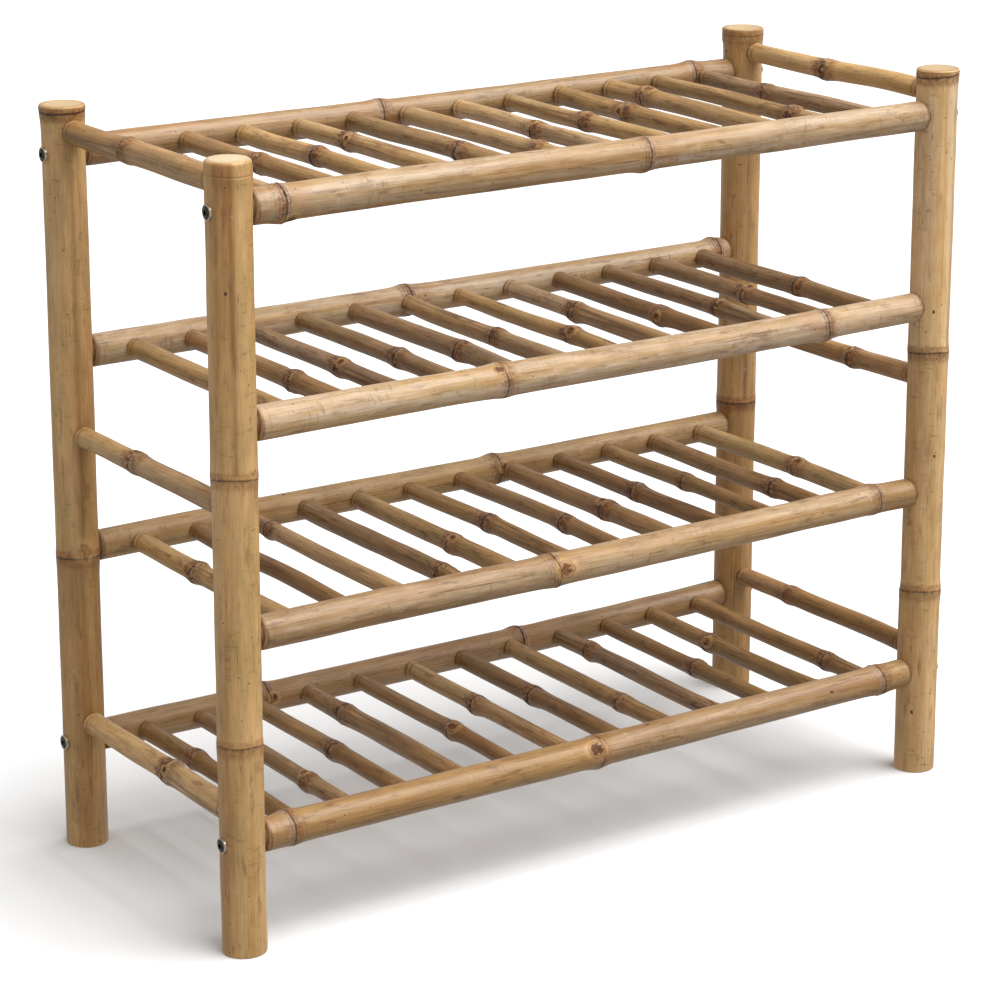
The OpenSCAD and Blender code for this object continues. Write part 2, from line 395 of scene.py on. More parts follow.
class Loft:
    """Rings of points round a culm's line that become one closed mesh, with a point at each end."""

    PLAIN = dict(joint=FAR, mark=0.0, scar=0.0, furrow=0.0, edge=FAR)

    def __init__(self, body):
        self.body = body
        self.rings = []

    def ring(self, place, radius, tone, cut=0, **features):
        """Adds one ring. cut is the number of the material of the band before it, where 0 is the skin."""
        self.rings.append(dict(self.PLAIN, place=place, radius=radius, tone=tone, cut=cut, **features))

    def grown(self, reach_low=None, reach_high=None, ease=0.0, first_cut=True):
        """Adds the body's rings. The reaches are the curves its ends follow, and ease is how far its radius
        shrinks there."""
        body = self.body
        rings = body.rings()
        nominal = body.places[:, None]
        from_low, from_high = nominal - body.low, body.high - nominal
        if reach_low is not None:
            rings["place"] = rings["place"] + (reach_low - body.low) * np.exp(-from_low / END_BLEND)
            rings["place"] = rings["place"] + (reach_high - body.high) * np.exp(-from_high / END_BLEND)
        edge = np.minimum(from_low, from_high)
        rings["radius"] = rings["radius"] - ease * np.exp(-((edge / (1.3 * MM)) ** 1.5))
        rings["edge"] = edge + 0 * rings["radius"]
        for row in range(len(nominal)):
            self.ring(cut=int(row == 0 and first_cut), **{key: rings[key][row] for key in rings})

    def mesh(self, name, materials):
        body = self.body
        culm = body.culm
        count = len(body.angles)
        rows = len(self.rings)

        def grid(key):
            return np.array([np.broadcast_to(ring[key], count) for ring in self.rings], float)

        def closed(line):
            """The points of the rings, and after them the middles of the first and the last ring."""
            return np.vstack([line, line[:count].mean(0), line[-count:].mean(0)])

        place, radius = grid("place"), grid("radius")
        tone = np.array([np.broadcast_to(ring["tone"], (count, 4)) for ring in self.rings])
        across = np.stack([radius * np.cos(body.angles), radius * np.sin(body.angles)], 2)
        straight = np.concatenate([place[:, :, None], across], 2).reshape(-1, 3)
        bend = body.bend.at(place.ravel())
        points = np.empty((rows * count, 3))
        points[:, culm.axis] = straight[:, 0]
        for k, axis in enumerate(culm.across):
            points[:, axis] = culm.centre[axis] + straight[:, k + 1] + bend[:, k]
        points = closed(points)
        faces = tube_faces(rows, count)
        if culm.axis == 1:
            faces = [face[::-1] for face in faces]
        cut = np.concatenate([grid("cut")[1:].ravel(), np.full(2 * count, len(materials) - 1)])
        made = bpy.data.meshes.new(name)
        made.from_pydata(points.tolist(), [], faces)
        made.polygons.foreach_set("material_index", cut.astype(np.int32))
        made.polygons.foreach_set("use_smooth", np.ones(len(faces), bool))
        put(made, "culm", "FLOAT_VECTOR", "vector", closed(straight) + body.offset)
        middle = np.array([culm.centre[axis] for axis in culm.across])
        from_line = points[:, culm.across] - middle
        put(made, "disc", "FLOAT_VECTOR", "vector", np.column_stack([from_line, np.hypot(*from_line.T)]))
        for title in self.PLAIN:
            flat = grid(title).ravel()
            put(made, title, "FLOAT", "value", np.concatenate([flat, [flat[0], flat[-1]]]))
        flat = tone.reshape(-1, 4)
        put(made, "tone", "FLOAT_COLOR", "color", np.vstack([flat, flat[0], flat[-1]]))
        made.set_sharp_from_angle(angle=SHARP)
        for material in materials:
            made.materials.append(material)
        return add_object(name, made)


def tube_faces(rows, count):
    """Faces of a closed tube: rows of count points, then the two points that close its ends."""
    around = np.arange(count)
    after = (around + 1) % count
    start = np.arange(rows - 1)[:, None] * count
    bands = np.stack([start + around, start + after, start + count + after, start + count + around], 2)
    last = (rows - 1) * count
    first_end = np.stack([after, around, 0 * around + rows * count], 1)
    last_end = np.stack([last + around, last + after, 0 * around + rows * count + 1], 1)
    return bands.reshape(-1, 4).tolist() + first_end.tolist() + last_end.tolist()


def add_object(name, data):
    made = bpy.data.objects.new(name, data)
    scene.collection.objects.link(made)
    return made


def put(mesh, title, kind, field, values):
    """Stores one value per point on a mesh."""
    mesh.attributes.new(title, kind, "POINT").data.foreach_set(field, np.asarray(values, np.float32).ravel())


# ---- materials

STRAW = (0.61, 0.372, 0.146)
HONEY = (0.462, 0.243, 0.077)
OLIVE = (0.395, 0.268, 0.076)
RUST = (0.37, 0.165, 0.055)
BROWN = (0.255, 0.114, 0.033)
BURNT = (0.17, 0.068, 0.022)
DARK = (0.06, 0.025, 0.011)
WAX_AND_SHEEN = (0.66, 0.5, 0.36)
LILAC = (0.43, 0.3, 0.215)


class Shader:
    """Short calls for wiring a material's nodes, with the colour so far."""

    def __init__(self, name, colour):
        self.colour = colour
        self.material = bpy.data.materials.new(name)
        self.material.use_nodes = True
        self.nodes = self.material.node_tree.nodes
        self.links = self.material.node_tree.links
        self.surface = self.nodes["Principled BSDF"]

    def feed(self, socket, value):
        if isinstance(value, bpy.types.NodeSocket):
            self.links.new(value, socket)
        elif socket.type == "RGBA":
            socket.default_value = (*value, 1)
        else:
            socket.default_value = value

    def add(self, kind, inputs, **settings):
        """A new node with its settings, and its inputs fed by name or number."""
        node = self.nodes.new("ShaderNode" + kind)
        for title, value in settings.items():
            setattr(node, title, value)
        for title, value in inputs.items():
            self.feed(node.inputs[title], value)
        return node

    def attribute(self, name, output="Fac"):
        return self.add("Attribute", {}, attribute_name=name).outputs[output]

    def own_place(self):
        return self.add("TexCoord", {}).outputs["Object"]

    def math(self, operation, *values):
        return self.add("Math", dict(enumerate(values)), operation=operation).outputs[0]

    def scaled(self, value, gain, offset=0.0):
        return self.math("MULTIPLY_ADD", value, gain, offset)

    def swing(self, value, gain):
        """A noise scaled about its mean, so that it lightens as much as it darkens."""
        return self.scaled(value, gain, -0.5 * gain)

    def clamped(self, value):
        return self.math("MINIMUM", self.math("MAXIMUM", value, 0.0), 1.0)

    def total(self, *values):
        return reduce(lambda first, second: self.math("ADD", first, second), values)

    def product(self, *values):
        return reduce(lambda first, second: self.math("MULTIPLY", first, second), values)

    def step(self, value, low, high):
        """0 below low and 1 above high, smooth between; low may be above high."""
        inputs = {"Value": value, "From Min": low, "From Max": high}
        return self.add("MapRange", inputs, interpolation_type="SMOOTHSTEP").outputs["Result"]

    def bell(self, value, middle, width):
        away = self.scaled(value, 1 / width, -middle / width)
        return self.math("EXPONENT", self.product(away, away, -1.0))

    def stretch(self, vector, scale):
        return self.add("VectorMath", {0: vector, 1: scale}, operation="MULTIPLY").outputs[0]

    def noise(self, vector, scale, detail=2.0, roughness=0.5):
        inputs = {"Vector": self.stretch(vector, scale), "Scale": 1.0, "Detail": detail}
        return self.add("TexNoise", dict(inputs, Roughness=roughness)).outputs[0]

    def cells(self, vector, scale):
        """Distance to the middle of the nearest scattered cell, and a random number for that cell."""
        node = self.add("TexVoronoi", {"Vector": self.stretch(vector, scale), "Scale": 1.0})
        return node.outputs["Distance"], self.channels(node.outputs["Color"])[0]

    def specks(self, vector, scale, outer, inner, most, least):
        """Round marks that fade out between two sizes, in a share of the cells between most and least."""
        distance, chance = self.cells(vector, scale)
        return self.product(self.step(distance, outer, inner), self.step(chance, 1 - most, 1 - least))

    def mix(self, share, first, second):
        return self.add("Mix", {0: share, 6: first, 7: second}, data_type="RGBA").outputs[2]

    def lay(self, tint, *shares):
        """Lays a tint over the colour. The mix keeps the product of the shares within 0 and 1."""
        self.colour = self.mix(self.product(*shares), self.colour, tint)

    def dim(self, value):
        """Multiplies the colour by a number."""
        self.colour = self.add("VectorMath", {0: self.colour, "Scale": value}, operation="SCALE").outputs[0]

    def channels(self, colour):
        return self.add("SeparateColor", {0: colour}).outputs

    def bump(self, height, distance, strength):
        node = self.add("Bump", {"Strength": strength, "Distance": distance, "Height": height})
        self.links.new(node.outputs[0], self.surface.inputs["Normal"])

    def finish(self, roughness, **plain):
        self.feed(self.surface.inputs["Base Color"], self.colour)
        self.feed(self.surface.inputs["Roughness"], roughness)
        for name, value in plain.items():
            self.surface.inputs[name.replace("_", " ")].default_value = value
        return self.material


# How each kind of culm looks at its joints, in mm from the line, towards the culm's tip:
# the line's width and strength, fine rings (place, width, strength) and stains (colour, from, to, strength)
JOINT_LOOKS = {
    "post": dict(
        line=(1.1, 0.95), reach=6.0, grime=0.6,
        rings=((2.2, 0.4, 0.5), (4.2, 0.4, 0.5), (6.2, 0.55, 0.6)),
        stains=((RUST, 0.0, 6.8, 0.75), (BROWN, -8.0, 0.0, 0.6)),
    ),
    "rail": dict(
        line=(1.25, 0.95), reach=8.0, grime=0.75,
        rings=((-3.2, 1.1, 1.0), (3.6, 0.9, 0.9), (-6.4, 0.8, 0.7), (-10.0, 0.7, 0.5)),
        stains=((LILAC, 0.8, 6.0, 0.65), (RUST, -7.0, 0.0, 0.6), (RUST, 6.0, 26.0, 0.35)),
    ),
    "rung": dict(
        line=(1.4, 1.0), reach=13.0, grime=1.0,
        rings=((-4.6, 1.1, 1.0), (-7.7, 1.0, 0.8), (-10.8, 0.8, 0.6)),
        stains=((RUST, -13.0, 0.0, 0.75), (LILAC, 1.4, 5.5, 0.4), (BROWN, 3.0, 17.0, 0.5)),
    ),
    "slat": dict(
        line=(1.4, 1.0), reach=13.0, grime=1.1,
        rings=((-4.5, 1.1, 1.1), (-7.4, 1.0, 0.9), (-10.3, 0.9, 0.7)),
        stains=((RUST, -12.0, 0.0, 0.8), (LILAC, 1.4, 5.0, 0.4), (BROWN, 3.0, 17.0, 0.55)),
    ),
}


def bamboo(kind, shade, streaks, speckle, collar, gloss, coat):
    """The outer skin of a culm: fibre streaks, joint lines and stains, scars, specks, wax that partly paints
    a pale sheen, painted shade in its furrows and painted shadow where its ends meet other culms. collar is
    how dark the ends and joints are, that painted shadow included, and the other strengths are what their
    names say."""
    n = Shader(f"{kind}_bamboo_skin", HONEY)
    look = JOINT_LOOKS[kind]
    place = n.attribute("culm", "Vector")
    light, brown, green = n.channels(n.attribute("tone", "Color"))[:3]
    wax_and_sheen = n.attribute("tone", "Alpha")
    joint, edge = (n.scaled(n.attribute(title), 1 / MM) for title in ("joint", "edge"))
    scar, mark, furrow = (n.attribute(title) for title in ("scar", "mark", "furrow"))

    def grain(along, across, *detail):
        """Noise with one scale along the culm and another across it."""
        return n.noise(place, (along, across, across), *detail)

    # noises, from broad to fine
    patchy = grain(16, 45, 3.0, 0.55)
    stripe = grain(3.5, 110, 2.0, 0.55)
    mottle = grain(42, 150, 4.0, 0.65)
    ragged = grain(260, 260, 3.0, 0.6)
    medium = grain(10, 400, 3.0, 0.6)
    fine = grain(26, 950, 2.0, 0.6)
    hair = grain(60, 2600, 1.0)

    # the ground colour, with green, red, brown and waxy parts, the wax partly a painted pale sheen
    pale = n.total(n.scaled(light, 1.1, -0.05), n.swing(stripe, 1.5), n.swing(medium, 1.1 * streaks))
    n.lay(STRAW, pale)
    greenish = n.step(n.total(patchy, n.scaled(stripe, 0.5)), 0.6, 0.95)
    n.lay(OLIVE, n.total(green, 0.12), greenish, 1.2)
    redder = n.step(grain(9, 70, 3.0, 0.6), 0.48, 0.72)
    n.lay(RUST, redder, n.total(brown, 0.15), 0.9)
    browner = n.total(
        n.scaled(brown, 0.95),
        n.scaled(n.step(medium, 0.46, 0.72), 0.6 * streaks),
        n.scaled(patchy, 0.9, -0.62),
    )
    n.lay(BROWN, n.clamped(browner), 0.75)
    # wax film: partly the skin's pale bloom and partly a painted sheen
    wax_and_sheen_film = n.product(wax_and_sheen, n.step(n.total(n.scaled(mottle, 0.6), stripe), 0.5, 1.15), 1.4)
    n.lay(WAX_AND_SHEEN, wax_and_sheen_film)

    # smudges, dark fibres, painted shade in the furrows' hollows, and scuffs across the grain
    smudge = n.step(grain(34, 150, 4.0, 0.65), 0.55, 0.7)
    n.lay(BURNT, smudge, n.scaled(fine, 1.8, -0.2), 0.4 + 0.35 * streaks)
    line = n.product(n.step(grain(8, 640, 1.0), 0.66, 0.76), n.step(patchy, 0.34, 0.56))
    n.lay(BURNT, line, 0.4 + 0.4 * streaks)
    if collar > 0.5:
        n.lay(STRAW, n.step(furrow, 0.45, 0.8), 0.4)
        furrow = n.bell(furrow, 0.36, 0.16)
    # painted shade in the furrow: in its hollow, and on rungs and slats along its edges round a pale middle
    n.lay(BURNT, furrow, n.scaled(medium, 1.4), 0.9)
    scuff = n.step(grain(330, 75, 3.0, 0.6), 0.58, 0.66)
    n.lay(BROWN, scuff, n.step(patchy, 0.42, 0.62), 0.5)
    value = n.total(
        n.scaled(light, 0.3), n.swing(medium, 0.75 * streaks), n.swing(fine, 0.35 + 0.5 * streaks),
        n.swing(hair, 0.4 * streaks), n.swing(mottle, 0.35), 0.815,
    )
    n.dim(n.product(n.math("MAXIMUM", value, 0.3), shade))

    # stains, wrinkles, grime and the dark line of each joint
    torn = n.clamped(n.scaled(ragged, 2.6, -0.75))
    bent = n.total(joint, n.scaled(grain(60, 240, 2.0), 1.8, -0.9))
    for tint, start, end, strength in look["stains"]:
        # sharp on the side of the joint's line, and soft on the other
        soft = 0.35 * (end - start)
        if start >= 0:
            inside = n.product(n.step(bent, start - 0.3, start + 0.3), n.step(bent, end + soft, end - soft))
        else:
            inside = n.product(n.step(bent, end + 0.3, end - 0.3), n.step(bent, start - soft, start + soft))
        n.lay(tint, inside, n.scaled(ragged, 1.4, 0.15), mark, strength)
    for middle, width, strength in look["rings"]:
        n.lay(BURNT, n.bell(bent, middle, width), torn, mark, 1.3 * strength)
    rough = n.step(grain(170, 330, 3.0, 0.65), 0.47, 0.58)
    near = n.bell(bent, -0.2 * look["reach"], look["reach"])
    grime = n.clamped(n.product(near, rough, mark, look["grime"]))
    n.lay(n.mix(0.6 * collar, BURNT, DARK), grime)
    width, strength = look["line"]
    n.lay(DARK, n.bell(joint, 0.0, width), n.scaled(torn, 0.5, 0.5), mark, 1.15 * strength)

    # scars: a pale halo, a burnt ring and a torn pit
    torn_scar = n.product(scar, n.scaled(grain(150, 260, 4.0, 0.7), 2.8, -0.35))
    n.lay(STRAW, n.step(scar, 0.01, 0.2), n.scaled(mottle, 1.0, 0.1), 0.75)
    n.lay(RUST, n.step(torn_scar, 0.34, 0.5), 0.6)
    n.lay(BURNT, n.bell(torn_scar, 0.36, 0.06), 0.7)
    pit = n.step(torn_scar, 0.54, 0.7)
    n.lay(n.mix(n.step(medium, 0.4, 0.6), BURNT, DARK), pit, 0.95)

    # specks, worm holes, pale flecks and short dashes
    dot = n.specks(place, (150, 150, 150), 0.15, 0.07, 0.16 * speckle, 0.12 * speckle)
    n.lay(DARK, dot, 0.85)
    hole = n.specks(place, (42, 60, 60), 0.11, 0.06, 0.06 * speckle, 0.05 * speckle)
    n.lay(DARK, hole, 0.9)
    distance, chance = n.cells(place, (190, 95, 95))
    curl = n.product(n.bell(distance, 0.24, 0.06), n.step(mottle, 0.5, 0.62))
    fleck = n.product(curl, n.step(chance, 1 - 0.08 * speckle, 1 - 0.06 * speckle))
    n.lay(WAX_AND_SHEEN, fleck, 0.6 * (1 - collar))
    dash = n.specks(place, (38, 330, 330), 0.22, 0.1, 0.1, 0.06)
    n.lay(BURNT, dash, 0.7)

    # the two ends: a brown rim, a burnt ring, and painted shadow along the rim where an end meets the culm
    # it stands against
    n.lay(BROWN, n.step(edge, 6.5, 1.5), n.scaled(ragged, 1.2), 0.7 * collar)
    n.lay(BURNT, n.bell(edge, 7.0, 0.9), n.scaled(torn, 0.6, 0.4), collar)
    n.lay(DARK, n.step(edge, 2.5, 1.3), 0.35 + 0.6 * collar)

    height = n.total(
        n.scaled(medium, 0.6), n.scaled(fine, 0.9), n.scaled(hair, 0.5), n.scaled(mottle, 0.6),
        n.product(line, -0.8), n.product(dot, -1.2), n.product(hole, -1.5), n.product(dash, -0.8),
        n.product(fleck, 0.5), n.product(grime, -1.2),
    )
    n.bump(height, 0.2 * MM, 0.8)
    roughness = n.total(
        n.scaled(fine, 0.16), n.scaled(mottle, 0.2), n.product(wax_and_sheen_film, 0.1), n.product(pit, 0.5), 0.24
    )
    return n.finish(n.clamped(roughness), Specular_IOR_Level=gloss, Coat_Weight=coat, Coat_Roughness=0.3)


def end_grain(name, middle, rim, reach):
    """A sawn end: cloudy, with saw marks, and with fibre dots that grow denser towards the rim at reach."""
    n = Shader(name, middle)
    disc = n.attribute("disc", "Vector")
    place = n.attribute("culm", "Vector")
    out = n.scaled(n.add("SeparateXYZ", {0: disc}).outputs[2], 1 / reach)
    cloud = n.noise(place, (180, 180, 180), 4.0, 0.6)
    distance, chance = n.cells(disc, (1100, 1100, 0))
    dots = n.product(n.step(distance, 0.42, 0.2), n.step(out, 0.15, 0.95))
    n.lay(rim, n.total(n.step(out, 0.72, 1.0), n.scaled(cloud, 0.8, -0.4)))
    n.lay(BROWN, dots, n.scaled(chance, 0.5, 0.15))
    saw = n.noise(disc, (60, 900, 0), 2.0)
    n.dim(n.total(n.scaled(cloud, 0.4), n.scaled(saw, 0.25), 0.66))
    n.bump(n.total(n.scaled(cloud, 0.6), n.scaled(saw, 0.5), n.scaled(dots, -0.4)), 0.2 * MM, 0.8)
    return n.finish(n.scaled(cloud, 0.2, 0.5))


def plated_steel(name, colour, tint):
    """Plated fastener steel: a satin sheen with fine turning marks, cloudy and worn in places."""
    n = Shader(name, colour)
    place = n.own_place()
    cloud = n.noise(place, (240, 240, 240), 4.0, 0.6)
    fine = n.noise(place, (3000, 1500, 1500), 2.0)
    n.lay(tint, n.step(cloud, 0.35, 0.7))
    n.bump(n.total(n.scaled(fine, 0.6), cloud), 0.04 * MM, 0.6)
    return n.finish(n.total(n.scaled(cloud, 0.2), n.scaled(fine, 0.08), 0.16), Metallic=1.0)


def plug_wood(name):
    """Turned hardwood with long pores."""
    n = Shader(name, (0.46, 0.25, 0.11))
    place = n.own_place()
    grain = n.noise(place, (18, 420, 420), 4.0, 0.6)
    pores = n.step(n.noise(place, (60, 2600, 2600), 1.0), 0.62, 0.75)
    n.lay((0.3, 0.14, 0.055), n.step(grain, 0.3, 0.7))
    n.lay(DARK, pores, 0.5)
    n.bump(n.total(grain, n.scaled(pores, -0.8)), 0.2 * MM, 0.7)
    return n.finish(n.scaled(grain, 0.2, 0.45))


def studio_floor(name):
    n = Shader(name, (0.78, 0.78, 0.78))
    cloud = n.noise(n.own_place(), (3, 3, 3), 3.0)
    n.lay((0.79, 0.79, 0.79), cloud)
    return n.finish(n.scaled(cloud, 0.1, 0.55), Specular_IOR_Level=0.0)


# Lightness, streaks, speckle, dark collars, gloss and coat of each kind of culm. The slats' low lightness
# partly paints the shade between the shelves, and the dark collars include painted shadow where the ends
# meet other culms.
SKINS = {
    "post": (1.11, 0.45, 1.2, 0.0, 0.36, 0.06),
    "rail": (0.77, 1.05, 0.9, 0.2, 0.38, 0.16),
    "rung": (0.9, 1.2, 1.1, 0.8, 0.34, 0.1),
    "slat": (0.78, 1.6, 1.3, 0.9, 0.32, 0.08),
}
MATERIALS = {kind: bamboo(kind, *strengths) for kind, strengths in SKINS.items()}
PALE_CUT = end_grain("post_end_grain", (0.6, 0.47, 0.295), (0.48, 0.33, 0.17), 19.5 * MM)
WORN_CUT = end_grain("post_worn_end_grain", (0.5, 0.355, 0.19), (0.4, 0.245, 0.11), 19.5 * MM)
SAWN_CUT = end_grain("rail_end_grain", (0.66, 0.47, 0.29), (0.56, 0.37, 0.19), 16 * MM)
TENON_CUT = end_grain("tenon_grain", (0.2, 0.1, 0.04), (0.16, 0.08, 0.03), 15 * MM)
BROWN_CUT = end_grain("culm_end_grain", (0.46, 0.28, 0.13), (0.3, 0.15, 0.06), 15 * MM)
# One plated steel in two copies: a bright one for the head's rim, partly a painted highlight, and a
# near-black one for the domed face, a painted dark reflection, and for the socket, painted shade
BOLT_STEEL_AND_HIGHLIGHT = plated_steel("bolt_steel_and_painted_highlight", (0.66, 0.58, 0.44), (0.46, 0.41, 0.3))
BOLT_FACE_DARK_REFLECTION = plated_steel("bolt_face_painted_dark_reflection", (0.045, 0.045, 0.036), (0.11, 0.1, 0.075))
INSERT_METAL = plated_steel("insert_plated_steel", (0.62, 0.62, 0.6), (0.45, 0.45, 0.44))

# ---- posts

POST_BORE = 13 * MM
POST_WEB = 98 * MM       # height of the first wall across the hollow foot
FOOT_BEVEL = 0.8 * MM    # height of the bevel round the foot
RAIL_END = 20.0 * MM     # from a post's axis to the sawn end of a rail

# For each post: light, brown, green and wax of each length between its joints, from the foot up; patches of
# another tone (from and to in mm along the post, degrees round it, half their width, change of the four);
# buds that never grew (joint, mm above it, degrees, size in mm, darkness); where the furrow lies and how far
# it reaches in mm; the joints' tilt in mm; and the top's style, with its joint line's depth in mm, darkness
# and flare in mm
# The back posts' darker tones and each post's darker lowest length partly paint the shade that the rack
# casts on them.
POSTS = {
    "post_front_left": dict(
        tones=[
            (0.44, 0.3, 0.25, 0.1), (0.57, 0.2, 0.35, 0.12), (0.58, 0.18, 0.32, 0.1),
            (0.6, 0.3, 0.1, 0.1),
        ],
        patches=[
            (490, 700, -180, 62, (0.36, 0.42, -0.4, -0.1)),
            (540, 700, -117, 5, (-0.5, 0.55, -0.3, -0.1)),
            (560, 700, -133, 4, (-0.4, 0.4, -0.3, -0.1)),
            (530, 700, -153, 5, (-0.4, 0.35, -0.3, -0.1)),
            (0, 700, -165, 14, (-0.08, 0.08, 0.0, 0.0)),
        ],
        buds=[(1, 7, -70, 7.0, 0.3)],
        furrow=-115, reach=260, tilt=3.0, cap="rounded", cap_line=14, cap_mark=0.15, flare=0.6,
    ),
    "post_front_right": dict(
        tones=[
            (0.62, 0.2, 0.15, 0.22), (0.7, 0.14, 0.18, 0.25), (0.98, 0.06, 0.12, 0.5),
            (0.8, 0.2, 0.1, 0.3),
        ],
        patches=[(300, 700, -150, 30, (-0.05, 0.1, 0.0, 0.0))],
        buds=[],
        furrow=-60, reach=260, tilt=2.5, cap="lid", cap_line=6.5, cap_mark=1.0, flare=0.5,
    ),
    "post_back_left": dict(
        tones=[(0.28, 0.35, 0.22, 0.08), (0.55, 0.2, 0.26, 0.12), (0.5, 0.4, 0.1, 0.1)],
        patches=[
            (0, 290, -120, 22, (-0.2, 0.22, 0.0, 0.0)),
            (276, 299, -124, 100, (-0.15, 0.2, 0.0, 0.0)),
            (306, 480, -92, 22, (0.05, 0.5, -0.15, -0.1)),
        ],
        buds=[(0, 8, -97, 10.0, 0.4)],
        furrow=-99, reach=600, tilt=1.6, cap="lid", cap_line=5.5, cap_mark=1.2, flare=0.8,
    ),
    "post_back_right": dict(
        tones=[(0.18, 0.5, 0.18, 0.06), (0.42, 0.3, 0.2, 0.12), (0.4, 0.5, 0.1, 0.1)],
        patches=[], buds=[],
        furrow=-100, reach=260, tilt=1.0, cap="dished", cap_line=6.5, cap_mark=0.5, flare=1.5,
    ),
}
FACING = math.radians(-124)     # towards the front left, where the joints' lines stand highest
SKIN_TURN = 0.9          # how far, in radians, the skin reaches over a rounded rim

# How far each cap's rim is rounded, inwards and downwards, and how deep its middle is (high if negative)
CAPS = {
    "rounded": (5.0 * MM, 3.4 * MM, -1.0 * MM),
    "lid": (2.2 * MM, 2.0 * MM, 0.6 * MM),
    "dished": (1.4 * MM, 1.2 * MM, 2.4 * MM),
}


def post_cap(loft, style, high):
    """Rings of a post's closed top, from its rim to its middle."""
    body = loft.body
    edge = body.radius_ring(high)
    tone = body.tone_ring(high)
    rim, fall, dish = CAPS[style]
    crown = body.culm.high - max(-dish, 0)
    for turn in np.linspace(0, np.pi / 2, 7)[1:]:
        inward = rim * (1 - math.cos(turn))
        height = crown - fall + fall * math.sin(turn)
        loft.ring(height, edge - inward, tone, cut=int(turn > SKIN_TURN), edge=6 * MM)
    for share in (0.93, 0.86, 0.78, 0.66, 0.5, 0.3, 0.12):
        sink = dish * (1 - min(share / 0.88, 1) ** 2)
        loft.ring(crown - sink, (edge - rim) * share, tone, cut=1)


def build_post(name, seed):
    look = POSTS[name]
    rng = np.random.default_rng(seed)
    culm = culms_of(name, 2)[0]
    _, fall, dish = CAPS[look["cap"]]
    low, high = FOOT_BEVEL, culm.high - fall - max(-dish, 0)
    joints = culm.joints[:-1] + [culm.high - look["cap_line"] * MM]
    buds = [
        Scar(joints[j] + rise * MM, degrees, size * MM, culm.radius_at(joints[j]), 1.2 * MM, 0.3 * MM, ink)
        for j, rise, degrees, size, ink in look["buds"]
    ]
    body = Body(culm, low, high, "post", rng, joints, 1, look["tones"], buds, patches=look["patches"])
    body.groove_turn = math.radians(look["furrow"]) - ALTERNATE * (len(culm.joints) - 2)
    body.furrow_reach = look["reach"] * MM
    for joint in body.joints[:-1]:
        joint.tilt, joint.turn = look["tilt"] * MM, FACING
    body.joints[-1].mark = look["cap_mark"]
    body.joints[-1].swell = look["flare"] * MM
    body.joints[-1].lip *= look["cap_mark"]
    loft = Loft(body)
    tone = body.tone_ring(low)
    foot = body.radius_ring(low)
    for place, radius in ((POST_WEB, POST_BORE), (1.0 * MM, POST_BORE), (0, POST_BORE + 0.5 * MM)):
        loft.ring(place, radius, tone, cut=1)
    loft.ring(0, foot - 0.9 * MM, tone, cut=1, edge=2 * MM)
    loft.grown(first_cut=False)
    for ring in loft.rings:
        ring["edge"] = np.maximum(ring["edge"], 3 * MM)
    post_cap(loft, look["cap"], high)
    top = PALE_CUT if look["cap"] == "rounded" else WORN_CUT
    return body, loft.mesh(name.replace("post", "post_culm"), [MATERIALS["post"], top])


# ---- rails

# Light, brown, green and wax of a rail, the wax partly a painted pale sheen, which way it grew along X, and
# its scars:
# the joint they sit above, degrees round it (0 is back, 90 up, 180 front) and size in mm
RAILS = {
    "rail_top_front": ((0.46, 0.16, 0.1, 0.5), 1, [(0, 238, 6.5)]),
    "rail_top_back": ((0.26, 0.32, 0.12, 0.25), -1, []),
    "rail_upper_front": ((1.0, 0.05, 0.14, 0.75), -1, [(0, 125, 5.0)]),
    "rail_upper_back": ((0.76, 0.14, 0.1, 0.7), 1, [(1, 205, 3.4)]),
    "rail_lower_front": ((0.48, 0.24, 0.14, 0.35), 1, [(0, 165, 7.5)]),
    "rail_lower_back": ((0.85, 0.2, 0.12, 0.15), 1, [(1, 160, 4.5)]),
    "rail_bottom_front": ((0.36, 0.32, 0.14, 0.15), -1, [(1, 150, 7.0)]),
    "rail_bottom_back": ((0.34, 0.38, 0.1, 0.1), 1, [(0, 165, 4.0)]),
}
RAIL_TENON = 11 * MM    # radius
TIP = 0.6 * MM          # bevel of a rail's tenon
ARRIS = 0.5 * MM        # how far a rail's edge is rounded off


def branch_scars(culm, up, marks):
    """Scars just above a culm's joints, from the joint, degrees round it and size in mm of each."""
    return [
        Scar(culm.joints[j] + up * size * MM, degrees, size * MM, culm.radius_at(culm.joints[j]))
        for j, degrees, size in marks
    ]


def build_rail(name, seed, posts):
    tone, up, marks = RAILS[name]
    rng = np.random.default_rng(seed)
    culm = culms_of(name, 0)[0]
    joints = culm.joints
    face = name.split("_")[2]
    left, right = (posts[f"post_{face}_{side}"] for side in ("left", "right"))
    low = left.culm.centre[0] + RAIL_END
    high = right.culm.centre[0] - RAIL_END
    tones = [natural_tone(rng, tone) for _ in range(len(joints) + 1)]
    body = Body(culm, low, high, "rail", rng, joints, up, tones, branch_scars(culm, up, marks))
    loft = Loft(body)
    start, end = body.tone_ring(low), body.tone_ring(high)
    loft.ring(culm.low, RAIL_TENON - TIP, start)
    loft.ring(culm.low + TIP, RAIL_TENON, start, cut=2)
    loft.ring(low, RAIL_TENON, start, cut=2)
    loft.ring(low, body.radius_ring(low) - ARRIS, start, cut=1, edge=0.0)
    loft.grown(ease=0.25 * MM)
    loft.ring(high, body.radius_ring(high) - ARRIS, end, cut=1, edge=0.0)
    loft.ring(high, RAIL_TENON, end, cut=1)
    loft.ring(culm.high - TIP, RAIL_TENON, end, cut=2)
    loft.ring(culm.high, RAIL_TENON - TIP, end, cut=2)
    return body, loft.mesh(name.replace("rail", "rail_culm"), [MATERIALS["rail"], SAWN_CUT, TENON_CUT])


# ---- rungs and slats

